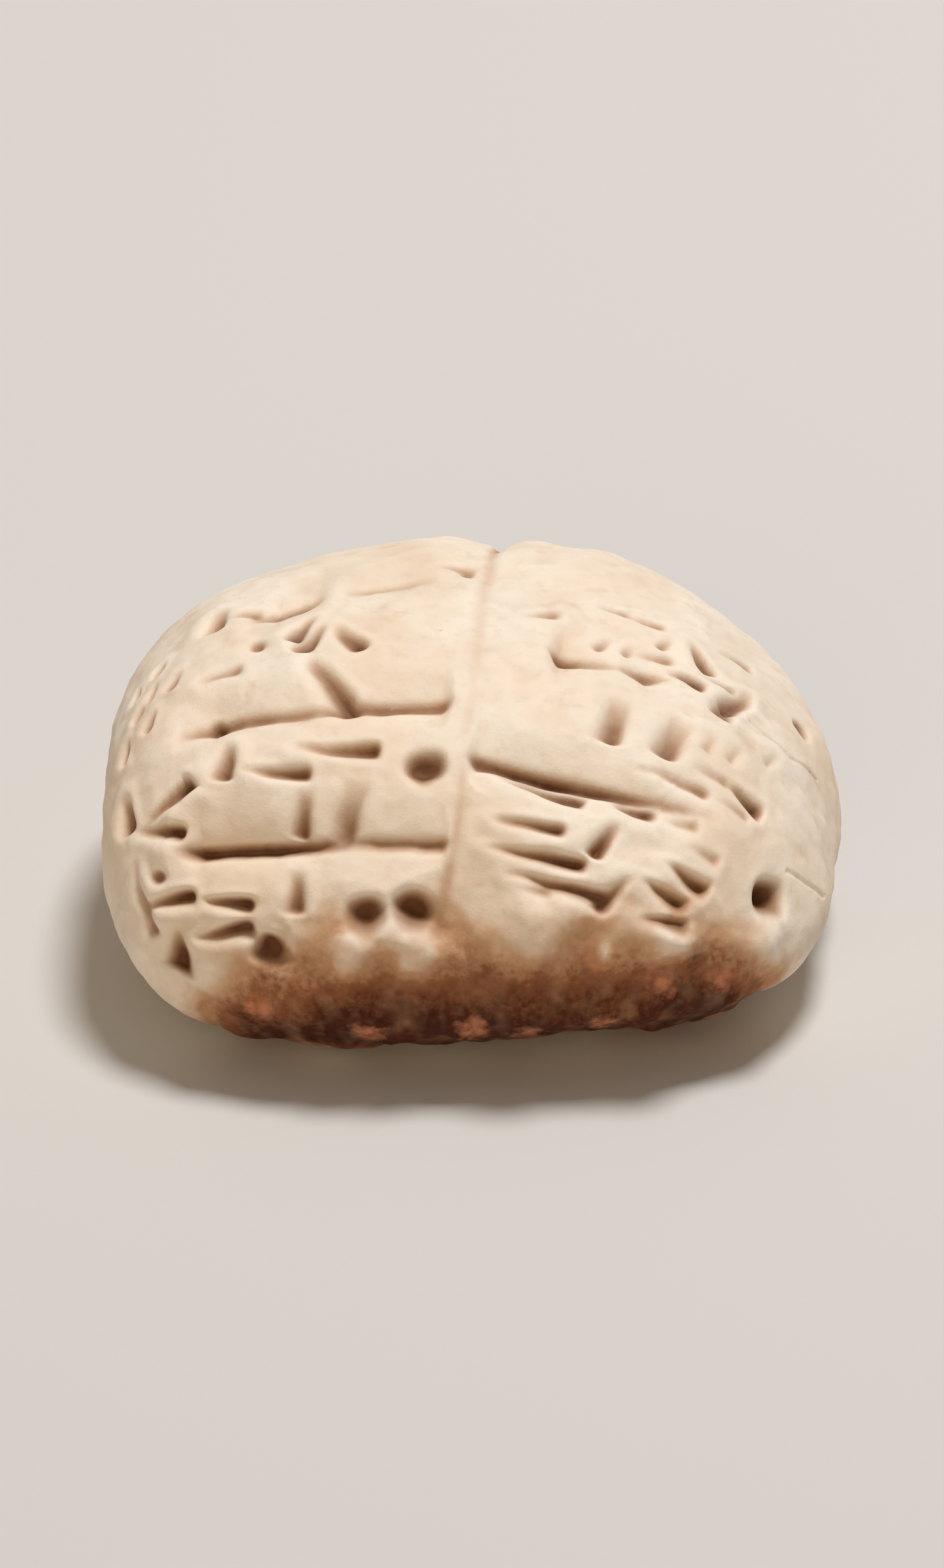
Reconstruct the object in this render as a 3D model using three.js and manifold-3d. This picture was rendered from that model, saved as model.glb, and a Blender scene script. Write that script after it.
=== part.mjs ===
// Cuneiform account tablet: a hand-sized cushion of clay, lying with its written face up.
// The face is ruled into cases in two columns, and each case holds pressed wedge strokes and
// round number holes. Millimetres, +Z up, +X along the rows, +Y along the columns.
import * as THREE from "three";
import { mergeVertices } from "three/addons/utils/BufferGeometryUtils.js";
import Module from "manifold-3d";

// The lump, measured from the middle of its widest line.
const HALF_WIDTH = 25.8;
const HALF_DEPTH = 23;
const CROWN = 15; // height of the written face above the widest line
const BELLY = 9; // depth of the underside below it
const PLAN_POWER = 2.64; // 2 is an ellipse from above, more is squarer
const PROFILE_POWER = 2.3; // the same for the edge seen from the side
const LEAN_X = -0.215; // sideways lean for each millimetre of height
const LEAN_Y = 0.27;
const SKIN_DETAIL = 12; // rows of facets in each face of the starting icosahedron
const FOOT_DEPTH = 8.2; // the worn flat that it lies on, below the widest line
const MIDDLE = new THREE.Vector2(0.25, 0.3); // middle of the finished outline

// Hollows left by the fingers that shaped the lump. A minus depth is a bulge.
const PRESS_SPREAD = 0.38;
const PRESSES = [
  { azimuth: 136, elevation: 27, depth: 1.0 },
  { azimuth: 166, elevation: 12, depth: 0.6 },
  { azimuth: -157, elevation: -3, depth: 1.1 },
  { azimuth: -139, elevation: -11, depth: -2.2 },
  { azimuth: -61, elevation: -18, depth: 1.4 },
  { azimuth: 72, elevation: 36, depth: -1.1 },
];

// Rulings: a rounded groove through a few points, each a plan place and a depth.
const GROOVE_RADIUS = 0.7;
const GROOVE_SIDES = 8;
const GROOVE_STEP = 1.6;
const RULINGS = [
  [[-16, 4.4, 0.15], [-13.8, 5.3, 0.6], [-12.2, 5.9, 0.5], [-10.5, 6.6, 0.15]],
  [[-9.5, 7, 0.1], [-7.5, 7.8, 0.32], [-5, 8.6, 0.28], [-2.5, 9.2, 0.05]],
  [[-20, -7.4, 0.1], [-17.2, -7, 0.7], [-10, -7.1, 0.45], [-7.6, -6.7, 0.7], [-0.8, -6, 0.6]],
  [[-19.5, -15.7, 0.1], [-17.6, -16.2, 0.9], [-12, -17, 0.95], [-6.5, -17.1, 0.5], [0, -17, 0.6]],
  [[6, 0.8, 0.8], [8, 0.6, 0.6], [10.5, 0.7, 0.25], [12.5, 0.9, 0.6], [14.5, 1, 0.1]],
  [[1, -10.9, 0.7], [6.5, -11.3, 1.05], [12.4, -11.5, 0.75], [18, -11, 0.15]],
  [
    [-0.5, -21.6, 0.4], [0.3, -17.5, 0.3], [0.6, -6, 0.12],
    [0.5, 14, 0.25], [0.7, 19, 0.55], [0.7, 22.5, 0.6],
  ],
];

// Strokes: three-sided wedges, deepest at the head. Heading is the way that the head points.
const FACE_RADIUS = 28; // how tightly the written face curves, which long strokes follow
const TAIL_LIFT = 0.05; // height of a wedge's point over the face, so that its tail fades out
const STROKES = {
  "-": { length: 3.6, width: 1.7, depth: 0.65, heading: -4 },
  "=": { length: 6, width: 1.6, depth: 0.65, heading: -3 },
  _: { length: 7.6, width: 1.6, depth: 0.7, heading: -4 },
  t: { length: 6, width: 1.1, depth: 0.45, heading: -2 },
  "'": { length: 3.2, width: 1.4, depth: 0.35, heading: 8 },
  ",": { length: 1.9, width: 1.3, depth: 0.5, heading: -105 },
  "`": { length: 2.2, width: 1.3, depth: 0.3, heading: -100 },
  "|": { length: 3.4, width: 2, depth: 0.6, heading: -98 },
  I: { length: 4.6, width: 2.7, depth: 0.5, heading: -99 },
  "!": { length: 5.4, width: 1.4, depth: 0.45, heading: -112 },
  ">": { length: 3.8, width: 1.7, depth: 0.6, heading: -52 },
  L: { length: 6.2, width: 2, depth: 0.65, heading: -53 },
  "~": { length: 4.6, width: 1.6, depth: 0.75, heading: -28 },
  "/": { length: 3.8, width: 1.7, depth: 0.7, heading: -116 },
  "^": { length: 3.4, width: 1.5, depth: 0.65, heading: 30 },
  f: { length: 6.4, width: 1.6, depth: 0.65, heading: 22 },
};

// Holes: a round end leaves a ball's hollow. An end with sides leaves a tapered punch mark.
const PUNCH_TAPER = 0.3; // how much wider it is at its rim, and narrower at its floor
const HOLES = {
  o: { radius: 1.65, depth: 1.2 },
  v: { radius: 1.6, depth: 1.1 },
  "*": { radius: 1.0, depth: 0.8 },
  ".": { radius: 0.75, depth: 0.5 },
  0: { radius: 1.7, depth: 1.1, sides: 4, turn: 87 },
  "#": { radius: 1.5, depth: 0.9, sides: 4, turn: 83 },
};

// Rows of marks. A mark sits at its place in the string, one PITCH to each character.
const PITCH = 0.8;
const LEFT_START = -23.6;
const RIGHT_START = 1.4;
const ROWS = [
  { y: 11, left: "                           ' ,", right: "" },
  { y: 7.6, left: "", right: "          '  '       '" },
  { y: 5.2, left: "       | '", right: "    '          ,  >        *" },
  { y: 3.0, left: "", right: "          , , '     '" },
  { y: 1.7, left: "  ,            /", right: "                 -    /" },
  { y: 0.3, left: ",          .    /  >", right: "                     |" },
  { y: -1.2, left: "  , ,", right: "" },
  { y: -2.4, left: " ,      '", right: "                         `" },
  { y: -4.7, left: "  ,               L", right: "                    ` `" },
  { y: -5.8, left: ",", right: "            I    I" },
  { y: -7.2, left: "        *", right: "" },
  { y: -7.6, left: "", right: "                    '  -" },
  { y: -9.4, left: "", right: "                 t    '" },
  { y: -11.0, left: " |        |        =", right: "" },
  { y: -12.5, left: "    f         =            v", right: "      _       -   '" },
  { y: -13, left: "", right: "                          0" },
  { y: -13.9, left: "    ~", right: "                    '" },
  { y: -15.5, left: "                 |   I", right: "     =      /      -" },
  { y: -16.3, left: "    !.", right: "" },
  { y: -17.2, left: "", right: "      _          -" },
  { y: -17.3, left: "      ~", right: "" },
  { y: -18.6, left: "", right: "        _    /   ^   ," },
  { y: -19.2, left: "           ~", right: "      '" },
  { y: -19.6, left: "                 |", right: "" },
  { y: -20.1, left: "       #", right: "" },
  { y: -19.9, left: "           ~", right: "" },
  { y: -20.8, left: "                       o   o", right: "" },
  { y: -21.3, left: "               #", right: "" },
];

// Unevenness of the scribe's hand.
const SHIFT_JITTER = 0.15;
const TURN_JITTER = 5;
const SIZE_JITTER = 0.12;

// Scars: shallow scoops where flakes have come away, by direction from the middle.
const SCAR_RADIUS = 3;
const SCAR_DETAIL = 2;
const SCAR_BITE = 0.45;
const SCAR_COUNT = 9;
const SCAR_FIRST = -145;
const SCAR_LAST = -38;
const SCAR_ELEVATION = -9;
const BACK_CHIP = { azimuth: 64, elevation: 33, radius: 5, bite: 0.5 };

const radians = THREE.MathUtils.degToRad;

// A repeatable number from -1 to 1 for each index.
function jitter(index) {
  const wave = Math.sin(index * 12.9898) * 43758.5453;
  return 2 * (wave - Math.floor(wave)) - 1;
}

function direction(azimuth, elevation) {
  const flat = Math.cos(radians(elevation));
  return new THREE.Vector3(
    flat * Math.cos(radians(azimuth)),
    flat * Math.sin(radians(azimuth)),
    Math.sin(radians(elevation)),
  );
}

// ---- The lump ----

// Below 1 inside the upright lump, 1 on its skin and above 1 outside.
function fullness(x, y, z) {
  const plan = Math.abs(x / HALF_WIDTH) ** PLAN_POWER + Math.abs(y / HALF_DEPTH) ** PLAN_POWER;
  const rise = Math.abs(z / (z > 0 ? CROWN : BELLY)) ** PROFILE_POWER;
  return plan ** (PROFILE_POWER / PLAN_POWER) + rise;
}

// Moves a point of the upright lump's skin to where pressing and leaning leave it.
function shaped(point) {
  const outward = point.clone().normalize();
  const inward = PRESSES.reduce((sum, press) => {
    const apart = 1 - outward.dot(direction(press.azimuth, press.elevation));
    return sum + press.depth * Math.exp((-2 * apart) / PRESS_SPREAD ** 2);
  }, 0);
  const skin = point.clone().addScaledVector(outward, -inward);
  skin.x += LEAN_X * skin.z;
  skin.y += LEAN_Y * skin.z;
  return skin;
}

function skinAlong(outward) {
  const reach = fullness(outward.x, outward.y, outward.z) ** (-1 / PROFILE_POWER);
  return shaped(outward.clone().multiplyScalar(reach));
}

// The point of the written face over a plan position, found by halving the height.
function onFace(x, y) {
  let low = 0;
  let high = CROWN;
  while (high - low > 1e-4) {
    const z = (low + high) / 2;
    const inside = fullness(x - LEAN_X * z, y - LEAN_Y * z, z) < 1;
    low = inside ? z : low;
    high = inside ? high : z;
  }
  return shaped(new THREE.Vector3(x - LEAN_X * low, y - LEAN_Y * low, low));
}

// Axes lying on the written face: along the row, up the column and out of the clay.
function faceAxes(x, y) {
  const reach = 0.3;
  const row = onFace(x + reach, y).sub(onFace(x - reach, y)).normalize();
  const column = onFace(x, y + reach).sub(onFace(x, y - reach));
  const out = row.clone().cross(column).normalize();
  return { row, column: out.clone().cross(row), out };
}

// ---- Solids ----

const wasm = await Module();
wasm.setup();

function solid(geometry) {
  geometry.deleteAttribute("normal");
  geometry.deleteAttribute("uv");
  const merged = mergeVertices(geometry, 1e-5);
  return new wasm.Manifold(new wasm.Mesh({
    numProp: 3,
    vertProperties: new Float32Array(merged.attributes.position.array),
    triVerts: new Uint32Array(merged.index.array),
  }));
}

function lump() {
  const geometry = new THREE.IcosahedronGeometry(1, SKIN_DETAIL);
  const position = geometry.attributes.position;
  for (let i = 0; i < position.count; i += 1) {
    const outward = new THREE.Vector3().fromBufferAttribute(position, i).normalize();
    const skin = skinAlong(outward);
    position.setXYZ(i, skin.x, skin.y, skin.z);
  }
  return solid(geometry);
}

function underFoot() {
  const height = BELLY;
  const block = new THREE.BoxGeometry(2 * HALF_WIDTH, 2 * HALF_DEPTH, height);
  return solid(block.translate(0, 0, -FOOT_DEPTH - height / 2));
}

// A groove as a round rod that dips into the face by the ruling's depth.
function ruling(line) {
  const plan = new THREE.CatmullRomCurve3(line.map((point) => new THREE.Vector3(...point)));
  const steps = Math.ceil(plan.getLength() / GROOVE_STEP);
  const centres = plan.getSpacedPoints(steps).map(({ x, y, z: depth }) => (
    onFace(x, y).addScaledVector(faceAxes(x, y).out, GROOVE_RADIUS - depth)
  ));
  const section = new THREE.Shape();
  section.absarc(0, 0, GROOVE_RADIUS, 0, 2 * Math.PI);
  return solid(new THREE.ExtrudeGeometry(section, {
    extrudePath: new THREE.CatmullRomCurve3(centres),
    steps,
    curveSegments: GROOVE_SIDES / 2,
    bevelEnabled: false,
  }));
}

// A wedge as a three-sided cone lying on the face, its point at the tail.
function stroke(kind, x, y, index) {
  const size = 1 + SIZE_JITTER * jitter(index + 0.1);
  const length = kind.length * size;
  const turn = radians(kind.heading + TURN_JITTER * jitter(index + 0.2));
  const { row, column, out } = faceAxes(x, y);
  const along = row.clone().multiplyScalar(Math.cos(turn)).addScaledVector(column, Math.sin(turn));
  const across = along.clone().cross(out);
  // A cone of radius 1 ends in a triangle 2 / sqrt(3) wide at the height of its axis.
  const bite = kind.depth + TAIL_LIFT;
  const cone = new THREE.ConeGeometry(1, length, 3);
  cone.scale((size * kind.width * bite * Math.sqrt(3)) / (2 * kind.depth), 1, bite);
  cone.translate(0, 0, length ** 2 / (8 * FACE_RADIUS) - TAIL_LIFT);
  const middle = onFace(x, y);
  const pose = new THREE.Matrix4().makeBasis(across, along.negate(), out.negate());
  return solid(cone.applyMatrix4(pose.setPosition(middle)));
}

// A number hole or a punch mark, pushed straight in.
function hole({ radius, depth, sides, turn }, x, y) {
  const { row, column, out } = faceAxes(x, y);
  const centre = onFace(x, y);
  if (sides) {
    const rim = radius * (1 + PUNCH_TAPER);
    const floor = radius * (1 - PUNCH_TAPER);
    const punch = new THREE.CylinderGeometry(rim, floor, 2 * depth, sides);
    punch.rotateY(radians(turn));
    const pose = new THREE.Matrix4().makeBasis(row, out, column.negate());
    return solid(punch.applyMatrix4(pose.setPosition(centre)));
  }
  centre.addScaledVector(out, radius - depth);
  const ball = new THREE.IcosahedronGeometry(radius, 2);
  return solid(ball.translate(centre.x, centre.y, centre.z));
}

function scar(azimuth, elevation, radius, bite) {
  const outward = direction(azimuth, elevation);
  const centre = skinAlong(outward).addScaledVector(outward, radius - bite);
  const ball = new THREE.IcosahedronGeometry(radius, SCAR_DETAIL);
  return solid(ball.translate(centre.x, centre.y, centre.z));
}

// ---- The marks ----

function rowMarks() {
  const marks = [];
  for (const { y, left, right } of ROWS) {
    for (const [text, start] of [[left, LEFT_START], [right, RIGHT_START]]) {
      [...text].forEach((symbol, place) => {
        if (symbol === " ") return;
        const index = marks.length + 1;
        const x = start + place * PITCH + SHIFT_JITTER * jitter(index);
        const level = y + SHIFT_JITTER * jitter(index + 0.5);
        const wedge = STROKES[symbol];
        marks.push(wedge ? stroke(wedge, x, level, index) : hole(HOLES[symbol], x, level));
      });
    }
  }
  return marks;
}

function scars() {
  const gap = (SCAR_LAST - SCAR_FIRST) / (SCAR_COUNT - 1);
  const row = Array.from({ length: SCAR_COUNT }, (_, i) => scar(
    SCAR_FIRST + gap * (i + 0.3 * jitter(i + 1)),
    SCAR_ELEVATION + 5 * jitter(i + 40),
    SCAR_RADIUS * (1 + 0.3 * jitter(i + 80)),
    SCAR_BITE,
  ));
  const { azimuth, elevation, radius, bite } = BACK_CHIP;
  return [...row, scar(azimuth, elevation, radius, bite)];
}

function carved() {
  const cuts = [underFoot(), ...RULINGS.map(ruling), ...rowMarks(), ...scars()];
  return cuts.reduce((clay, cut) => clay.subtract(cut), lump());
}

function geometryOf(manifold) {
  const mesh = manifold.getMesh();
  const geometry = new THREE.BufferGeometry();
  geometry.setAttribute("position", new THREE.BufferAttribute(mesh.vertProperties, 3));
  geometry.setIndex(new THREE.BufferAttribute(mesh.triVerts, 1));
  geometry.computeVertexNormals();
  return geometry;
}

// ---- The scene graph ----

const clay = new THREE.MeshStandardMaterial({ color: 0xe3c9ac, roughness: 0.72, metalness: 0 });
const tablet = new THREE.Mesh(geometryOf(carved()), clay);
tablet.name = "tablet";
tablet.position.set(-MIDDLE.x, -MIDDLE.y, FOOT_DEPTH);

const model = new THREE.Group();
model.add(tablet);

export default model;
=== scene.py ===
"""A small clay account tablet, ruled into cases and pressed with rows of wedge strokes and
round number holes, lying on a plain studio floor. Sizes in the clay are in millimetres."""

import math

import bpy
import numpy as np
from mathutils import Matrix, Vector


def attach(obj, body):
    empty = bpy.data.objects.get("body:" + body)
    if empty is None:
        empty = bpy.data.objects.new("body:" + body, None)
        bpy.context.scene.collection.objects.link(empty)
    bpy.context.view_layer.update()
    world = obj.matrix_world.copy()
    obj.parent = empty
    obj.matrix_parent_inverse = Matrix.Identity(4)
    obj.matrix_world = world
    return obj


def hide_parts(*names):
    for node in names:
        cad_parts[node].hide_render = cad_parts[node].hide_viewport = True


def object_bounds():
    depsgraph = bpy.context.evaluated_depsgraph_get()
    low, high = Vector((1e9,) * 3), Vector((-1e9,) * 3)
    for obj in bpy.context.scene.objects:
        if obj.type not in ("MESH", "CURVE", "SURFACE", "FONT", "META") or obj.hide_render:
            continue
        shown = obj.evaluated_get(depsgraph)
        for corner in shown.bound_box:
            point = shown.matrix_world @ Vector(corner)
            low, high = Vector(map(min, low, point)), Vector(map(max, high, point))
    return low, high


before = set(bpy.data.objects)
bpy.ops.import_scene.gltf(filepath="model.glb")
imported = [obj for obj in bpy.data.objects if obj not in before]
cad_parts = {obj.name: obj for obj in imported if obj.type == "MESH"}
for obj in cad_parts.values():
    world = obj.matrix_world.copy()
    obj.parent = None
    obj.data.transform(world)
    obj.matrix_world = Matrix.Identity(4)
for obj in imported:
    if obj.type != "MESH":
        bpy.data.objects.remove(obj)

cad_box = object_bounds()

# ---------------------------------------------------------------------------------------
# The lump. A handful of fine, pale clay, patted into a cushion between the palms. The
# fingers that held it left shallow hollows.
# ---------------------------------------------------------------------------------------

HALF_WIDTH = 25.8
HALF_DEPTH = 23.0
CROWN = 15.0  # height of the written face above the widest line
BELLY = 9.0  # depth of the underside below it
PLAN_POWER = 2.64  # 2 is an ellipse from above, more is squarer
PROFILE_POWER = 2.3  # the same for the edge seen from the side
LEAN = np.array([-0.215, 0.27])  # sideways and backward lean for each millimetre of height
PRESS_SPREAD = 0.38
PRESSES = [  # azimuth and elevation in degrees, then depth; a minus depth is a bulge
    (136, 27, 1.0),
    (166, 12, 0.6),
    (-157, -3, 1.1),
    (-139, -11, -2.2),
    (-61, -18, 1.4),
    (72, 36, -1.1),
]
SKIN_CELLS = 300  # squares along each edge of the cube that is rounded into the skin


def direction(azimuth, elevation):
    azimuth, elevation = math.radians(azimuth), math.radians(elevation)
    flat = math.cos(elevation)
    return np.array([flat * math.cos(azimuth), flat * math.sin(azimuth), math.sin(elevation)])


def fullness(points):
    """Below 1 inside the upright lump, 1 on its skin and above 1 outside."""
    height = np.where(points[..., 2] > 0, CROWN, BELLY)
    plan = np.abs(points[..., 0] / HALF_WIDTH) ** PLAN_POWER
    plan = plan + np.abs(points[..., 1] / HALF_DEPTH) ** PLAN_POWER
    return plan ** (PROFILE_POWER / PLAN_POWER) + np.abs(points[..., 2] / height) ** PROFILE_POWER


def shaped(points):
    """Moves the upright lump's skin to where pressing and leaning leave it."""
    outward = points / np.linalg.norm(points, axis=-1, keepdims=True)
    inward = 0
    for azimuth, elevation, depth in PRESSES:
        apart = 1 - outward @ direction(azimuth, elevation)
        inward = inward + depth * np.exp(-2 * apart / PRESS_SPREAD**2)
    skin = points - outward * np.asarray(inward)[..., None]
    skin[..., :2] += LEAN * skin[..., 2:]
    return skin


def cube_grid(cells):
    """Points over a cube of half-size 1, shared along its edges, and the squares between them."""
    rows, columns = np.meshgrid(np.arange(cells + 1), np.arange(cells + 1), indexing="ij")
    corners, squares = [], []
    for axis in range(3):
        for side in (0, cells):
            place = np.insert(np.stack([rows, columns], -1), axis, side, axis=-1)
            index = np.arange(rows.size).reshape(rows.shape) + len(corners) * rows.size
            ring = [index[:-1, :-1], index[1:, :-1], index[1:, 1:], index[:-1, 1:]]
            inside_out = (side == 0) != (axis == 1)
            squares.append(np.stack(ring[::-1] if inside_out else ring, -1).reshape(-1, 4))
            corners.append(place.reshape(-1, 3))
    shared, which = np.unique(np.concatenate(corners), axis=0, return_inverse=True)
    points = np.tan((2 * shared / cells - 1) * math.pi / 4)
    return points, which.reshape(-1)[np.concatenate(squares)]


def outward_normals(points, squares):
    a, b, c, d = (points[squares[:, i]] for i in range(4))
    facing = np.cross(c - a, d - b)
    total = np.zeros_like(points)
    for corner in range(4):
        for axis in range(3):
            total[:, axis] += np.bincount(squares[:, corner], facing[:, axis], len(points))
    return total / np.linalg.norm(total, axis=1, keepdims=True)


cube, squares = cube_grid(SKIN_CELLS)
cube[:, 0] *= HALF_WIDTH
cube[:, 1] *= HALF_DEPTH
cube[:, 2] *= np.where(cube[:, 2] > 0, CROWN, BELLY)
upright = cube * fullness(cube)[:, None] ** (-1 / PROFILE_POWER)
skin = shaped(upright)
normals = outward_normals(skin, squares)
on_top = upright[:, 2] > 0

# ---------------------------------------------------------------------------------------
# The rulings. The scribe dragged the stylus through the soft clay to part the two columns
# and to close each case. The upper wall is steep, and the lower one slopes away.
# ---------------------------------------------------------------------------------------

STEEP_WALL = 0.55  # width of a ruling's upper wall
GENTLE_WALL = 1.1  # width of its lower wall
COLUMN_WALL = 0.75  # width of either wall of the ruling between the columns
GROOVE_SOFTNESS = 0.12  # roundness of a ruling's edges and floor
RULING_FADE = 0.6  # how far before and past its end points a ruling fades
RULING_MARGIN = 2.0  # how far past a ruling's ends the skin is worked
RULING_BAND = 8.0  # how far to its sides
LEAST_RISE = 0.15  # least upward part of the skin's normal, so that steep skin stretches no more
SHOULDER = 2.7  # reach of the soft sag beside a ruling
SHOULDER_SHARE = 1.25  # the sag's depth as a share of the ruling's
ACROSS, UP = 0, 1  # the plan axis that a ruling runs along
RULINGS = [  # that axis, then points of plan place and depth
    (ACROSS, [(-16, 4.4, 0.15), (-13.8, 5.3, 0.6), (-12.2, 5.9, 0.5), (-10.5, 6.6, 0.15)]),
    (ACROSS, [(-9.5, 7, 0.1), (-7.5, 7.8, 0.32), (-5, 8.6, 0.28), (-2.5, 9.2, 0.05)]),
    (ACROSS, [(-20, -7.4, 0.1), (-17.2, -7, 0.7), (-10, -7.1, 0.45),
              (-7.6, -6.7, 0.7), (-0.8, -6, 0.6)]),
    (ACROSS, [(-19.5, -15.7, 0.1), (-17.6, -16.2, 0.9), (-12, -17, 0.95),
              (-6.5, -17.1, 0.5), (0, -17, 0.6)]),
    (ACROSS, [(5.6, 0.9, 0.3), (6.4, 0.7, 0.8), (8, 0.6, 0.5),
              (10.5, 0.7, 0.25), (12.5, 0.9, 0.6), (14.5, 1, 0.1)]),
    (ACROSS, [(1, -10.9, 0.7), (6.5, -11.3, 1.05), (12.4, -11.5, 0.75), (18, -11, 0.15)]),
    (UP, [(-0.5, -21.6, 0.4), (0.3, -17.5, 0.3), (0.6, -6, 0.12),
          (0.5, 14, 0.25), (0.7, 19, 0.55), (0.7, 22.5, 0.6)]),
]


def smooth(low, high, value):
    """0 at low, 1 at high and held there beyond, easing in and out."""
    part = np.clip((value - low) / (high - low), 0, 1)
    return part * part * (3 - 2 * part)


def eased(value, knots, heights):
    """A soft curve through the heights at the knots."""
    slopes = np.gradient(heights, knots)
    right = np.clip(np.searchsorted(knots, value), 1, len(knots) - 1)
    left = right - 1
    span = knots[right] - knots[left]
    part = np.clip((value - knots[left]) / span, 0, 1)
    rise = part**2 * (3 - 2 * part)
    swing = slopes[left] * part * (1 - part) ** 2 - slopes[right] * part**2 * (1 - part)
    return heights[left] * (1 - rise) + heights[right] * rise + swing * span


def rounded(value, softness):
    """The value where it is above 0, turning to 0 along a soft curve."""
    return (value + np.sqrt(value**2 + softness**2)) / 2 - softness / 2


pressed = np.zeros(len(skin))  # depth pushed in by the stylus
sagged = np.zeros(len(skin))  # soft sag of the clay round it
for axis, line in RULINGS:
    knots, places, depths = (np.array(line)[:, column] for column in (axis, 1 - axis, 2))
    begin, end = knots[0], knots[-1]
    near = on_top & (skin[:, axis] > begin - RULING_MARGIN) & (skin[:, axis] < end + RULING_MARGIN)
    near = np.flatnonzero(near & (np.abs(skin[:, 1 - axis] - places.mean()) < RULING_BAND))
    along, tilt = skin[near, axis], normals[near]
    stretch = np.hypot(tilt[:, 1 - axis], tilt[:, 2]) / np.maximum(tilt[:, 2], LEAST_RISE)
    offset = (skin[near, 1 - axis] - eased(along, knots, places)) * stretch
    begun = smooth(begin - RULING_FADE, begin + RULING_FADE, along)
    unfinished = smooth(end + RULING_FADE, end - RULING_FADE, along)
    depth = np.interp(along, knots, depths) * begun * unfinished
    wall = np.where(offset > 0, STEEP_WALL, GENTLE_WALL) if axis == ACROSS else COLUMN_WALL
    groove = rounded(depth * (1 - np.abs(offset) / wall), GROOVE_SOFTNESS)
    pressed[near] = np.maximum(pressed[near], groove)
    sag = SHOULDER_SHARE * depth * np.exp(-((offset / SHOULDER) ** 2))
    sagged[near] = np.maximum(sagged[near], sag)

# ---------------------------------------------------------------------------------------
# The strokes and number holes. A cut reed was tipped into the clay, deepest at the head,
# with one steep wall, and its round end was pushed in for the numbers. They stand in rows.
# ---------------------------------------------------------------------------------------

STROKES = {  # length, width, depth, the way that the head points in degrees, the tail's share of width
    "-": (3.6, 1.9, 1.0, -4, 0.15),
    "=": (6.0, 1.7, 0.95, -3, 0.15),
    "_": (7.6, 1.8, 1.05, -4, 0.15),
    "'": (3.2, 1.5, 0.55, 8, 0.2),
    ",": (2.1, 1.0, 0.75, -112, 0.2),
    "`": (2.4, 1.1, 0.4, -106, 0.4),
    "|": (3.4, 2.2, 0.9, -98, 0.45),
    "I": (4.6, 3.0, 0.8, -99, 0.6),
    ">": (3.8, 1.9, 0.95, -52, 0.15),
    "L": (6.2, 2.2, 1.0, -53, 0.3),
    "/": (3.8, 1.9, 1.1, -116, 0.25),
    "~": (4.6, 1.8, 1.1, -28, 0.2),
    "^": (3.4, 1.7, 1.0, 30, 0.2),
    "!": (5.4, 1.5, 0.6, -112, 0.35),
    "f": (6.4, 1.8, 1.0, 22, 0.1),
    "t": (6.0, 1.2, 0.7, -2, 0.2),
}
HOLES = {  # radius, depth, how square the upper and the lower half are, and the turn in degrees
    "o": (1.75, 1.2, 2.2, 1.5, 0),
    "v": (1.8, 1.2, 3.0, 1.0, 0),
    "0": (1.5, 1.35, 4.0, 3.0, 42),
    "#": (1.45, 1.3, 5, 3.5, 38),
    "*": (1.0, 1.1, 2, 2, 0),
    ".": (0.75, 0.7, 2, 2, 0),
}
PITCH = 0.8  # width of one place in a row
LEFT_START = -23.6
RIGHT_START = 1.4
ROWS = [  # height of the row on the face, then its marks in the left and the right column
    (11, "                           ' ,", ""),
    (7.6, "", "          '  '       '"),
    (5.2, "       | '", "    '          ,  >        *"),
    (3.0, "", "          , , '     '"),
    (1.7, "  ,            /", "                 -    /"),
    (0.3, ",          .    /  >", "                     |"),
    (-1.2, "  , ,", ""),
    (-2.4, " ,      '", "                         `"),
    (-4.7, "  ,               L", "                    ` `"),
    (-5.8, ",", "            I    I"),
    (-7.2, "        *", ""),
    (-7.6, "", "                    '  -"),
    (-9.4, "", "                 t    '"),
    (-11.0, " |        |        =", ""),
    (-12.5, "    f         =            v", "      _       -   '"),
    (-13, "", "                          0"),
    (-13.9, "    ~", "                    '"),
    (-15.5, "                 |   I", "     =      /      -"),
    (-16.3, "    !.", ""),
    (-17.2, "", "      _          -"),
    (-17.3, "      ~", ""),
    (-18.6, "", "        _    /   ^   ,"),
    (-19.2, "           ~", "      '"),
    (-19.6, "                 |", ""),
    (-20.1, "       #", ""),
    (-19.9, "           ~", ""),
    (-20.8, "                       o   o", ""),
    (-21.3, "               #", ""),
]
SHIFT_JITTER = 0.15
TURN_JITTER = 5  # degrees
SIZE_JITTER = 0.12  # share of a mark's size
GENTLE_SHARE = 0.7  # share of a stroke's width that its gentle wall takes
STROKE_RISE = 0.65  # how soon a stroke deepens behind its tail; 1 is evenly, less is sooner
HEAD_SLANT = 0.3  # length of the slope at a stroke's head
HOLE_DROP = (0.92, 0.72)  # a hole's radius as a share of its reach up the column and down it
HOLE_BOWL = 1.5  # a hole's bowl before its floor slants, as a multiple of the hole's depth
FLOOR_LEVEL = 0.46  # share of the bowl's depth that is left at the middle
FLOOR_SLANT = 0.42  # how much that share grows to the upper wall and shrinks to the lower
FLOOR_LEAST = 0.04
LIP_SHARE = 0.28  # height of the clay pushed up beside a stroke, as a share of its depth
HOLE_LIP_SHARE = 0.07  # the same for a hole
LIP_WIDTH = 0.7
LIP_FADE = 1.6
MARK_MARGIN = 2.0  # how far past half a mark's length its lip may reach
SAME_SIDE = 0.2  # least agreement of the skin's normal with the mark's
EDGE_SOFTNESS = 0.12  # roundness of a mark's edges, as a share of its width
WOBBLE = 0.2  # unsteadiness of the marks' edges
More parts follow.
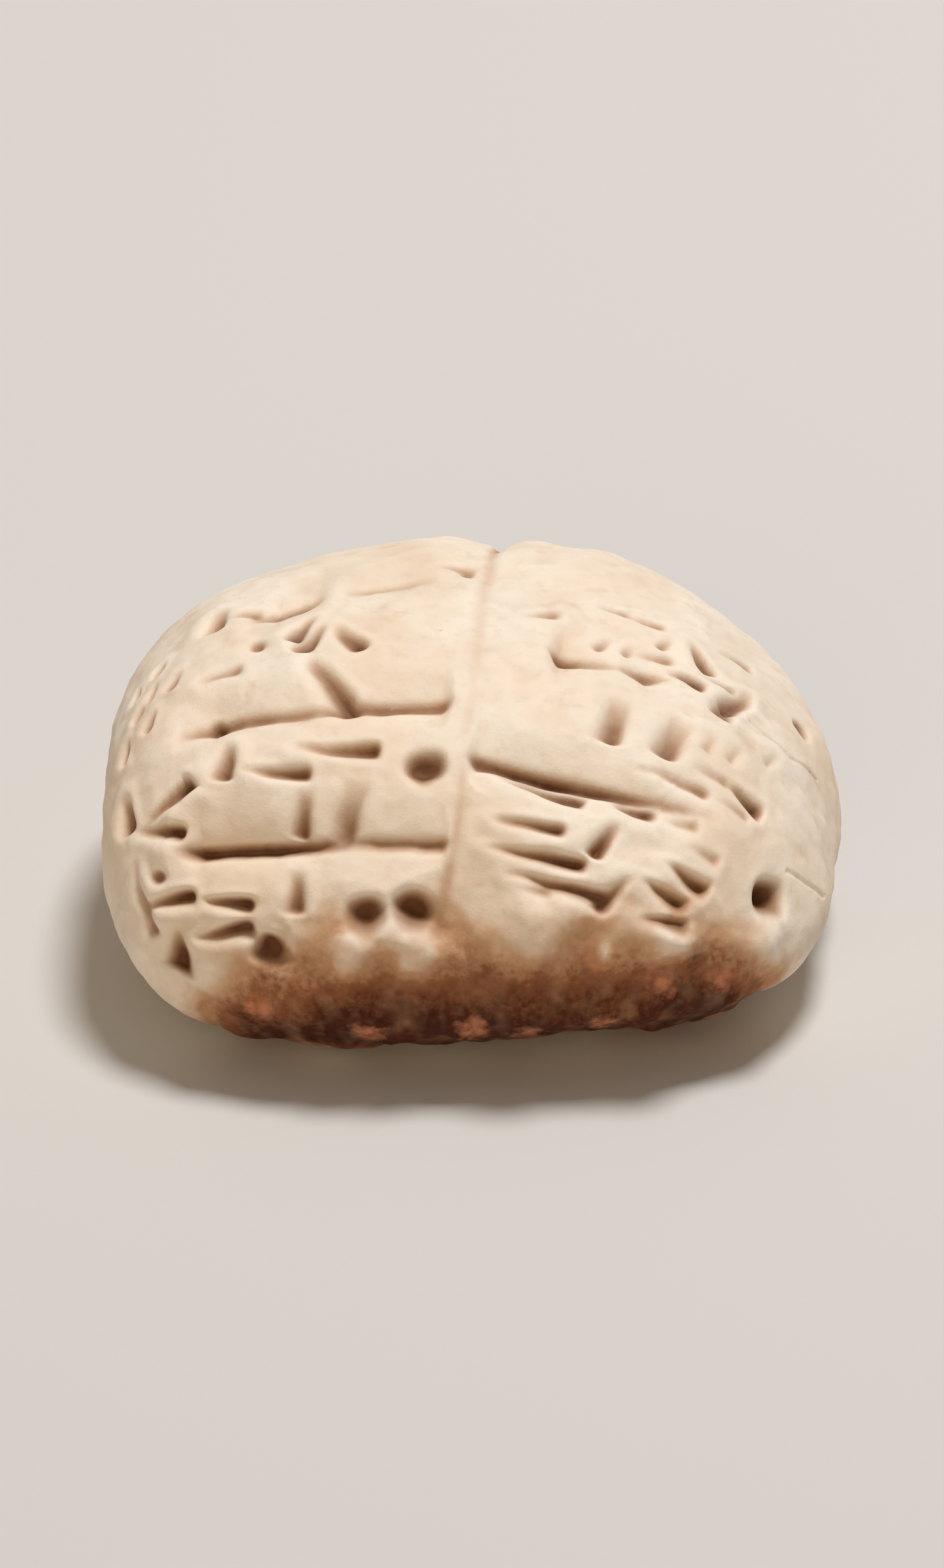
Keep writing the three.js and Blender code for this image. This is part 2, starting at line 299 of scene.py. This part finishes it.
WOBBLE_SIZE = 1.8  # distance from one waver of an edge to the next
WORN_ROUNDS = 6  # rounds of evening out that stand for wear
PULL_ROUNDS = 60  # the same for the clay that each mark pulls down with it
PULL_SHARE = 1.05  # how far that clay goes down, as a share of the evened-out depth


def jitter(index):
    """A repeatable number from -1 to 1 for each index."""
    wave = math.sin(index * 12.9898) * 43758.5453
    return 2 * (wave - math.floor(wave)) - 1


def on_face(x, y):
    """The point of the written face over a plan position, found by halving the height."""
    low, high = 0.0, CROWN
    while high - low > 1e-4:
        z = (low + high) / 2
        inside = fullness(np.array([x - LEAN[0] * z, y - LEAN[1] * z, z])) < 1
        low, high = (z, high) if inside else (low, z)
    return shaped(np.array([x - LEAN[0] * low, y - LEAN[1] * low, low]))


def face_axes(x, y):
    """Axes on the written face: along the row, up the column and out of the clay."""
    reach = 0.3
    row = on_face(x + reach, y) - on_face(x - reach, y)
    row /= np.linalg.norm(row)
    out = np.cross(row, on_face(x, y + reach) - on_face(x, y - reach))
    out /= np.linalg.norm(out)
    return row, np.cross(out, row), out


def stroke_depth(along, across, length, width, depth, tail):
    """How deep a tipped reed presses. Above 0 is in the clay, below 0 is beside the mark."""
    part = along / length + 0.5
    rise = np.where(part > 0, np.abs(part) ** STROKE_RISE, part * length / depth)
    share = np.where(across > 0, GENTLE_SHARE, 1 - GENTLE_SHARE)
    open_width = share * width * (tail + (1 - tail) * rise)
    trough = (open_width - np.abs(across)) * depth / (share * width)
    head = (length / 2 - along) * depth / HEAD_SLANT
    return np.minimum(np.minimum(depth * rise, trough), head)


def hole_depth(along, across, radius, depth, upper, lower):
    """A blunt end pushed in aslant: a bowl, steep and deep under its upper wall."""
    power = np.where(across > 0, lower, upper)
    drop = np.abs(across) * np.where(across > 0, HOLE_DROP[1], HOLE_DROP[0])
    reach = (np.abs(along) ** power + drop**power) ** (1 / power) / radius
    bowl = HOLE_BOWL * (1 - reach**2)
    slant = np.clip(FLOOR_LEVEL - FLOOR_SLANT * across / radius, FLOOR_LEAST, 1)
    return depth * bowl * slant


def press_mark(x, y, turn, length, width, lip_height, depth_at):
    """Presses one mark into the skin near a plan position of the face."""
    row, column, out = face_axes(x, y)
    away = skin - on_face(x, y)
    apart = np.linalg.norm(away, axis=1)
    reach = length / 2 + MARK_MARGIN
    near = np.flatnonzero((apart < reach) & (normals @ out > SAME_SIDE))
    across_row = away[near] @ row + WOBBLE * unsteady[0][near]
    up_column = away[near] @ column + WOBBLE * unsteady[1][near]
    along = across_row * math.cos(turn) + up_column * math.sin(turn)
    across = across_row * math.sin(turn) - up_column * math.cos(turn)
    depth = depth_at(along, across)
    pressed[near] = np.maximum(pressed[near], rounded(depth, EDGE_SOFTNESS * width))
    beside = np.exp(-(((depth + LIP_WIDTH / 2) / LIP_WIDTH) ** 2))
    beside *= smooth(reach, reach - LIP_FADE, apart[near])
    lip[near] = np.maximum(lip[near], lip_height * beside)


def press_stroke(symbol, x, y, size, swing):
    """Presses one wedge stroke, swung a few degrees off its heading."""
    length, width, depth, heading, tail = STROKES[symbol]
    length, width = length * size, width * size
    press_mark(
        x, y, math.radians(heading + swing), length, width, LIP_SHARE * depth,
        lambda along, across: stroke_depth(along, across, length, width, depth, tail),
    )


def press_hole(symbol, x, y, size):
    """Presses one number hole or punch mark."""
    radius, depth, *squareness, turn = HOLES[symbol]
    press_mark(
        x, y, math.radians(turn), 2 * radius, radius, HOLE_LIP_SHARE * depth,
        lambda along, across: hole_depth(along, across, radius * size, depth, *squareness),
    )


def spread(values, rounds):
    """Evens values out over the neighbouring corners of the skin."""
    for _ in range(rounds):
        level = values[squares].mean(axis=1)
        values = sum(np.bincount(squares[:, i], level, len(values)) for i in range(4)) / sharing
    return values


def waves(size, seed):
    """Smooth random waves from -1 to 1 over the skin, at the given distance from each other."""
    side = 64
    lattice = np.random.default_rng(seed).uniform(-1, 1, (side, side, side))
    cell = np.floor(skin / size)
    part = skin / size - cell
    part = part * part * (3 - 2 * part)
    cell = cell.astype(int)
    total = np.zeros(len(skin))
    for corner in np.ndindex(2, 2, 2):
        share = np.prod(np.where(corner, part, 1 - part), axis=1)
        i, j, k = ((cell + corner) % side).T
        total += share * lattice[i, j, k]
    return total


sharing = np.bincount(squares.ravel(), minlength=len(skin))  # squares that meet at a corner
unsteady = [waves(WOBBLE_SIZE, seed) for seed in (20, 21)]
lip = np.zeros(len(skin))  # clay pushed up round the marks
marks = 0
for level, *halves in ROWS:
    for text, start in zip(halves, (LEFT_START, RIGHT_START)):
        for place, symbol in enumerate(text):
            if symbol == " ":
                continue
            marks += 1
            x = start + place * PITCH + SHIFT_JITTER * jitter(marks)
            y = level + SHIFT_JITTER * jitter(marks + 0.5)
            size = 1 + SIZE_JITTER * jitter(marks + 0.1)
            if symbol in HOLES:
                press_hole(symbol, x, y, size)
            else:
                press_stroke(symbol, x, y, size, TURN_JITTER * jitter(marks + 0.2))

pressed = spread(pressed, WORN_ROUNDS)
lip = spread(lip, 2 * WORN_ROUNDS)
sagged += PULL_SHARE * spread(pressed, PULL_ROUNDS)

# ---------------------------------------------------------------------------------------
# Wear. The hand that smoothed the skin left it uneven. Along the low front edge it came away
# and left a rough brown crust. The right end has hairlines and the back a flake scar, and
# the underside has worn flat.
# ---------------------------------------------------------------------------------------

# Each of these is layers of waves, given by their height, size and seed.
UNEVEN = [(0.22, 9, 1), (0.18, 3.6, 2), (0.1, 1.4, 3), (0.03, 0.6, 10)]  # the skin
RAGGED = [(1.1, 4, 4), (0.6, 1.4, 5), (0.25, 0.6, 8)]  # the crust's edges
ROUGH = [(0.8, 2.8, 6), (0.3, 1.3, 7), (0.1, 0.6, 11)]  # the crust itself
CRUMBLY = [(0.9, 2.2, 13), (0.3, 0.9, 14)]  # the lumps left on it
FLAKY = [(0.8, 2, 12)]  # the edge of the scar at the back

CRUST_TOP = 3.4  # height of the crust's upper edge over the widest line, at its middle
CRUST_FALL = 6.0  # how much lower that edge is at the crust's two ends
CRUST_FALL_POWER = 6  # how late it falls; more is later
CRUST_MIDDLE = -80  # azimuth of the crust's middle
CRUST_HALF_SPAN = 48  # angle from there to each end
CRUST_ABOVE = 1.2  # how far above that edge the crust begins
CRUST_BELOW = 0.8  # how far below it the crust is full
CRUST_FOOT = -6.5  # height of its lower edge over the widest line
CRUST_FOOT_FADE = 1.5
CRUST_RECESS = 0.3  # depth of clay lost over the crust
CRUST_ROUGHNESS = 0.5
STAIN_AND_SHADE_ABOVE = 5.5  # how far above the crust's edge its brown stain and painted shade begin
STAIN_AND_SHADE_BELOW = 7.5  # how far below it the stain and painted shade are full
LUMPS = [  # plan place, radius and rise of crumbs left along the edge
    (6.6, -21, 2.0, 1.0),
    (11.3, -20.9, 0.9, 0.4),
    (15.4, -19.1, 2.0, 1.0),
    (21.9, -15.1, 1.9, 0.8),
    (-6.2, -21.7, 1.6, 0.6),
    (-3.8, -21.4, 1.5, 0.5),
    (-1.4, -21.9, 1.6, 0.6),
    (-10.6, -20.7, 1.3, 0.5),
    (-15.6, -20.4, 1.5, 0.4),
]
LUMP_PALENESS = 0.75  # share of the stain and its painted shade that is missing on a lump, which paints it paler as a highlight, and how patchy that is
LUMP_PATCHES = 0.25
CRACKS = [  # plan points from one end of a hairline to the other
    [(19.4, 0.2), (20.6, -0.2), (22.5, 0), (24.4, 1.8)],
    [(22.9, -10.3), (24.3, -9), (25.6, -7.1)],
]
CRACK_WIDTH = 0.25
CRACK_DEPTH = 0.14
BACK_CHIP = (64, 33, 3.4, 0.6)  # azimuth, elevation, radius and bite of a flake scar
HOLLOW_ROUNDS = 40  # rounds of evening out that tell the hollows from the skin round them
FOOT_DEPTH = 8.2  # the worn flat under the tablet, below the widest line


def layered(layers):
    """Adds up waves over the skin, by the height, size and seed of each layer."""
    return sum(height * waves(size, seed) for height, size, seed in layers)


swing = (np.degrees(np.arctan2(skin[:, 1], skin[:, 0])) - CRUST_MIDDLE) / CRUST_HALF_SPAN
ragged_height = upright[:, 2] + layered(RAGGED)
over_edge = ragged_height - CRUST_TOP + CRUST_FALL * swing**CRUST_FALL_POWER
over_foot = smooth(CRUST_FOOT - CRUST_FOOT_FADE, CRUST_FOOT + CRUST_FOOT_FADE, ragged_height)
crust = over_foot * smooth(CRUST_ABOVE, -CRUST_BELOW, over_edge)
# The brown stain is partly real and partly painted shade where the front turns under, away from the
# light.
stain_and_shade = over_foot * smooth(STAIN_AND_SHADE_ABOVE, -STAIN_AND_SHADE_BELOW, over_edge)

relief = layered(UNEVEN) + lip - pressed - sagged  # height over the smooth skin
crumbly = layered(CRUMBLY)
for x, y, radius, rise in LUMPS:
    away = skin - on_face(x, y)
    apart = np.maximum(np.linalg.norm(away, axis=1) + crumbly, 0)
    lump = np.exp(-((apart / radius) ** 2))
    relief += rise * lump
    crust *= 1 - lump
    # Lumps lose their stain and painted shade: a painted highlight where they catch the light.
    stain_and_shade -= (LUMP_PALENESS + LUMP_PATCHES * crumbly) * lump * stain_and_shade
relief -= crust * (CRUST_RECESS + CRUST_ROUGHNESS * layered(ROUGH))

for line in CRACKS:
    knots, places = np.array(line).T
    near = np.flatnonzero(on_top & (skin[:, 0] > knots[0]) & (skin[:, 0] < knots[-1]))
    aside = np.abs(skin[near, 1] - np.interp(skin[near, 0], knots, places)) / CRACK_WIDTH
    relief[near] -= CRACK_DEPTH * np.clip(1 - aside, 0, 1)

azimuth, elevation, radius, bite = BACK_CHIP
outward = direction(azimuth, elevation)
middle = shaped(outward * fullness(outward) ** (-1 / PROFILE_POWER))
apart = np.linalg.norm(skin - middle, axis=1) + layered(FLAKY)
relief -= bite * smooth(radius, 0, apart)

hollow = spread(relief, HOLLOW_ROUNDS) - relief  # above 0 in hollows, where shade is painted, and below 0 on ridges, where hands rub and a highlight is painted
skin = skin + normals * relief[:, None]
skin[:, 2] = np.maximum(skin[:, 2], -FOOT_DEPTH)

# ---------------------------------------------------------------------------------------
# The finished solid. The skin goes into the frame, standing on its worn flat, and the even
# stretches are thinned out.
# ---------------------------------------------------------------------------------------

MIDDLE = (0.25, 0.3)  # middle of the finished outline
MOST_TRIANGLES = 190_000
MILLIMETRE = 0.001  # in the frame's metres

mesh = bpy.data.meshes.new("clay_tablet")
placed = (skin + np.array([-MIDDLE[0], -MIDDLE[1], FOOT_DEPTH])) * MILLIMETRE
mesh.vertices.add(len(placed))
mesh.vertices.foreach_set("co", placed.astype(np.float32).ravel())
mesh.loops.add(squares.size)
mesh.loops.foreach_set("vertex_index", squares.astype(np.int32).ravel())
mesh.polygons.add(len(squares))
mesh.polygons.foreach_set("loop_start", np.arange(0, squares.size, 4, dtype=np.int32))
mesh.update()
for name, values in (("hollow", hollow), ("pressed", pressed), ("crust", crust), ("stain_and_shade", stain_and_shade)):
    layer = mesh.attributes.new(name, "FLOAT", "POINT")
    layer.data.foreach_set("value", values.astype(np.float32))

tablet = bpy.data.objects.new("clay_tablet", mesh)
bpy.context.scene.collection.objects.link(tablet)
thinning = tablet.modifiers.new("thinning", "DECIMATE")
thinning.ratio = MOST_TRIANGLES / (2 * len(squares))
bpy.context.view_layer.update()
thinned = tablet.evaluated_get(bpy.context.evaluated_depsgraph_get())
tablet.data = bpy.data.meshes.new_from_object(thinned)
tablet.modifiers.clear()
tablet.data.shade_smooth()

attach(tablet, "root")
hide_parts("tablet")

# ---------------------------------------------------------------------------------------
# The clay. Pale and warm, with painted shade in the marks and hollows and a painted
# highlight on the ridges, where hands also rubbed it, a brown crust and stain along the front
# that darken towards the foot with painted shade, and a dull polish in patches.
# ---------------------------------------------------------------------------------------


def colour(red, green, blue):
    """A screen colour, 0 to 255, as the shader's own light values."""
    parts = [part / 255 for part in (red, green, blue)]
    return (*[p / 12.92 if p <= 0.04045 else ((p + 0.055) / 1.055) ** 2.4 for p in parts], 1)


class Wire:
    """A value in a material's shader. Arithmetic on it adds the Math nodes that work it out."""

    def __init__(self, tree, socket=None):
        self.tree = tree
        self.socket = socket

    def node(self, kind, settings, inputs, output=0):
        """Adds a node: its settings first, then a value or a link for each input named."""
        made = self.tree.nodes.new(kind)
        for name, value in settings.items():
            setattr(made, name, value)
        for name, value in inputs.items():
            if isinstance(value, Wire):
                self.tree.links.new(value.socket, made.inputs[name])
            else:
                made.inputs[name].default_value = value
        return Wire(self.tree, made.outputs[output])

    def maths(self, operation, first, second, clamp=False):
        settings = {"operation": operation, "use_clamp": clamp}
        return self.node("ShaderNodeMath", settings, {0: first, 1: second})

    def __add__(self, other):
        return self.maths("ADD", self, other)

    def __sub__(self, other):
        return self.maths("SUBTRACT", self, other)

    def __rsub__(self, other):
        return self.maths("SUBTRACT", other, self)

    def __mul__(self, other):
        return self.maths("MULTIPLY", self, other)

    __radd__ = __add__
    __rmul__ = __mul__

    def held(self, low, high):
        """0 at low, 1 at high, and held there beyond."""
        return self.maths("MULTIPLY", self - low, 1 / (high - low), clamp=True)

    def mix(self, under, over):
        """Goes from one colour to the other as this value goes from 0 to 1."""
        # A Mix node's colour sockets share their names with its others, so they go by number.
        settings = {"data_type": "RGBA"}
        return self.node("ShaderNodeMix", settings, {"Factor": self, 6: under, 7: over}, 2)


clay = bpy.data.materials.new("clay")
clay.use_nodes = True
shader = clay.node_tree.nodes["Principled BSDF"]
wires = Wire(clay.node_tree)
clay_place = wires.node("ShaderNodeTexCoord", {}, {}, "Object")


def grain(size, detail):
    """Soft blotches of the given size in millimetres, from 0 to 1."""
    scale = 1 / (size * MILLIMETRE)
    inputs = {"Vector": clay_place, "Scale": scale, "Detail": detail, "Roughness": 0.55}
    return wires.node("ShaderNodeTexNoise", {}, inputs, "Fac")


def layer_of(name):
    """What the finished solid carries at its corners under that name."""
    return wires.node("ShaderNodeAttribute", {"attribute_name": name}, {}, "Fac")


# The body: pale clay in warm and ashen blotches, and paler again on raised skin, where hands rub it
# and a highlight is painted.
PALE = colour(246, 234, 216)
WARM = colour(239, 219, 194)
ASH = colour(228, 211, 190)
BLOTCHES = [  # colour, size and detail, the noise where it begins and is full, and its strength
    (WARM, 11, 3, 0.4, 0.66, 1),
    (ASH, 5, 4, 0.5, 0.7, 0.4),
    (ASH, 0.9, 3, 0.54, 0.7, 0.35),
]
RIDGE_HIGHLIGHT_FROM, RIDGE_HIGHLIGHT_FULL = 0.04, 0.3  # how far raised skin, rubbed and given a painted highlight, stands over the skin round it
RIDGE_HIGHLIGHT_PALENESS = 0.7

body = PALE
for shade, size, detail, begins, full, strength in BLOTCHES:
    body = (grain(size, detail).held(begins, full) * strength).mix(body, shade)
# Paler on ridges: partly rubbing, partly a painted highlight where light catches the raised skin.
rubbed_and_highlit = (0 - layer_of("hollow")).held(RIDGE_HIGHLIGHT_FROM, RIDGE_HIGHLIGHT_FULL)
body = (rubbed_and_highlit * RIDGE_HIGHLIGHT_PALENESS).mix(body, PALE)

# The soil along the front: tan, then browner and darker down to the foot. Part is the crust's real
# brown stain, part is painted shade where the front turns under, and the darkest is a painted shadow
# at the foot.
TAN = colour(206, 165, 128)
STAIN = colour(156, 102, 67)
EARTH = colour(88, 40, 17)
# Painted shadow under the foot.
FOOT_SHADE = colour(56, 24, 11)
TAN_FROM, TAN_FULL = 0.04, 0.3
SOIL_AND_SHADE_COLOURS = [  # colour, and the amounts of soil and painted shade where it begins and is full
    (STAIN, 0.29, 0.58),
    (EARTH, 0.52, 0.95),
    (FOOT_SHADE, 0.8, 1.15),
]
SOIL_PATCHES = 0.4  # how much the soil and its painted shade come and go in patches, in specks and in the crust
SOIL_SPECKS = 0.14
CRUST_SPECKS = 0.4
RIDGE_HIGHLIGHT_CLEAN = 0.6  # share of the tan that rubbing and the painted ridge highlight take off

crusty = layer_of("crust")
soil_and_shade = layer_of("stain_and_shade") + SOIL_PATCHES * (grain(3.6, 3) - 0.5)
soil_and_shade = soil_and_shade + SOIL_SPECKS * (grain(1.2, 2) - 0.5) + CRUST_SPECKS * crusty * (grain(0.5, 2) - 0.5)
body = (soil_and_shade.held(TAN_FROM, TAN_FULL) * (1 - rubbed_and_highlit * RIDGE_HIGHLIGHT_CLEAN)).mix(body, TAN)
for shade, begins, full in SOIL_AND_SHADE_COLOURS:
    body = soil_and_shade.held(begins, full).mix(body, shade)

# Pale flecks in the crust, ragged spots round scattered points: broken clay, and painted glints where
# light catches the crust's bumps.
FLECK_AND_GLINT = colour(206, 134, 98)
FLECK_SPACING = 4.4
FLECK_SIZE = 1.15  # more makes larger flecks
FLECK_RAGGEDNESS = 0.6
FLECK_FROM, FLECK_FULL = 0.52, 0.8
FLECK_STRENGTH = 0.9

scattered = {"Vector": clay_place, "Scale": 1 / (FLECK_SPACING * MILLIMETRE)}
spot = FLECK_SIZE - wires.node("ShaderNodeTexVoronoi", {}, scattered, "Distance")
spot = spot - FLECK_RAGGEDNESS * grain(0.8, 3)
flecks_and_glints = spot.held(FLECK_FROM, FLECK_FULL) * crusty
body = (flecks_and_glints * FLECK_STRENGTH).mix(body, FLECK_AND_GLINT)

# Painted shade in the hollows and the marks, darker the deeper they are.
MARK_SHADE = colour(108, 66, 36)
PIT_SHADE = colour(66, 36, 18)
PIT_SHADE_FROM, PIT_SHADE_FULL = 0.75, 1.45  # the pressed depth where the darkest painted shade begins and is full
HOLLOW_SHADES = [  # colour, then where it begins, is full and its share, in hollows and in marks, and its most
    (TAN, (-0.02, 0.34, 0.75), (0.02, 0.4, 0.5), 0.9),
    (MARK_SHADE, (0.12, 0.6, 0.45), (0.1, 0.8, 1.1), 1),
]
PATCHY_LEAST = 0.7
PATCHY_SWING = 0.4


def shade_held(depth, begins, full, share):
    """The painted shade that one kind of depth holds."""
    return depth.held(begins, full) * share


hollows, depths = layer_of("hollow"), layer_of("pressed")
patchy = PATCHY_LEAST + PATCHY_SWING * grain(1.5, 2)
for shade, in_hollows, in_marks, most in HOLLOW_SHADES:
    painted_shade = shade_held(hollows, *in_hollows) + shade_held(depths, *in_marks)
    body = (painted_shade.held(0, most) * patchy).mix(body, shade)
# The deepest pits get the darkest painted shade.
body = depths.held(PIT_SHADE_FROM, PIT_SHADE_FULL).mix(body, PIT_SHADE)
clay.node_tree.links.new(body.socket, shader.inputs["Base Color"])

# The finish: a dull polish in patches, rougher on the crust, and a fine grain to the touch.
DULL = 0.72
POLISH = 0.14
CRUST_DULL = 0.2
GRAIN_STRENGTH = 0.35
GRAIN_HEIGHT = 0.12  # millimetres

shader.inputs["Specular IOR Level"].default_value = 0.25
polish = DULL - POLISH * grain(7, 2).held(0.4, 0.65) + CRUST_DULL * crusty
clay.node_tree.links.new(polish.socket, shader.inputs["Roughness"])
# Coarse grain, fine grain and the crust's own crumbs.
height = 0.6 * grain(0.45, 3) + 0.4 * grain(0.16, 2) + 0.9 * crusty * grain(0.6, 3)
grainy = {"Strength": GRAIN_STRENGTH, "Distance": GRAIN_HEIGHT * MILLIMETRE, "Height": height}
bumped = wires.node("ShaderNodeBump", {}, grainy, "Normal")
clay.node_tree.links.new(bumped.socket, shader.inputs["Normal"])
tablet.data.materials.append(clay)

# ---------------------------------------------------------------------------------------
# The studio: a pale floor, a broad soft light from above and behind, and a weak warm fill
# from in front. Sizes and places here and below are in metres.
# ---------------------------------------------------------------------------------------

FLOOR_REACH = 3.0
FLOOR_GAP = 0.00002  # keeps the worn flat just off the floor
FLOOR_PALE = colour(214, 212, 208)
WORLD_TINT = (1, 0.9, 0.79, 1)
WORLD_STRENGTH = 0.23

floor_mesh = bpy.data.meshes.new("floor")
corners = [(-1, -1), (1, -1), (1, 1), (-1, 1)]
corners = [(FLOOR_REACH * x, FLOOR_REACH * y, -FLOOR_GAP) for x, y in corners]
floor_mesh.from_pydata(corners, [], [(0, 1, 2, 3)])
floor = bpy.data.objects.new("floor", floor_mesh)
bpy.context.scene.collection.objects.link(floor)
paint = bpy.data.materials.new("floor_paint")
paint.use_nodes = True
paint.node_tree.nodes["Principled BSDF"].inputs["Base Color"].default_value = FLOOR_PALE
paint.node_tree.nodes["Principled BSDF"].inputs["Roughness"].default_value = 0.9
floor_mesh.materials.append(paint)

world = bpy.data.worlds.new("studio")
bpy.context.scene.world = world
world.use_nodes = True
world.node_tree.nodes["Background"].inputs["Color"].default_value = WORLD_TINT
world.node_tree.nodes["Background"].inputs["Strength"].default_value = WORLD_STRENGTH

centre = (cad_box[0] + cad_box[1]) / 2


def soft_light(name, place, size, watts, tint):
    """A round soft light that shines on the middle of the tablet."""
    data = bpy.data.lights.new(name, "AREA")
    data.color = tint
    data.shape = "DISK"
    data.size = size
    data.energy = watts
    lamp = bpy.data.objects.new(name, data)
    lamp.location = place
    lamp.rotation_euler = (centre - Vector(place)).to_track_quat("-Z", "Y").to_euler()
    bpy.context.scene.collection.objects.link(lamp)


soft_light("key", place=(0.15, 0.21, 0.84), size=0.26, watts=6.0, tint=(1, 0.985, 1))
soft_light("fill", place=(-0.25, -0.85, 0.45), size=0.8, watts=2.05, tint=(1, 0.73, 0.45))

# ---------------------------------------------------------------------------------------
# The camera looks down on the tablet from in front, a little to the right. It stands well
# back behind a long lens, so that the outline is nearly free of perspective.
# ---------------------------------------------------------------------------------------

VIEW_AZIMUTH = math.radians(4.7)
VIEW_ELEVATION = math.radians(30.5)
VIEW_DISTANCE = 1.4
LENS = 460

camera = bpy.data.objects.new("camera", bpy.data.cameras.new("camera"))
camera.data.lens = LENS
camera.data.clip_start = 0.1
back = Vector(
    (
        math.sin(VIEW_AZIMUTH) * math.cos(VIEW_ELEVATION),
        -math.cos(VIEW_AZIMUTH) * math.cos(VIEW_ELEVATION),
        math.sin(VIEW_ELEVATION),
    )
)
camera.location = centre + back * VIEW_DISTANCE
camera.rotation_euler = (-back).to_track_quat("-Z", "Y").to_euler()
bpy.context.scene.collection.objects.link(camera)
bpy.context.scene.camera = camera
bpy.context.scene.view_settings.view_transform = "Standard"
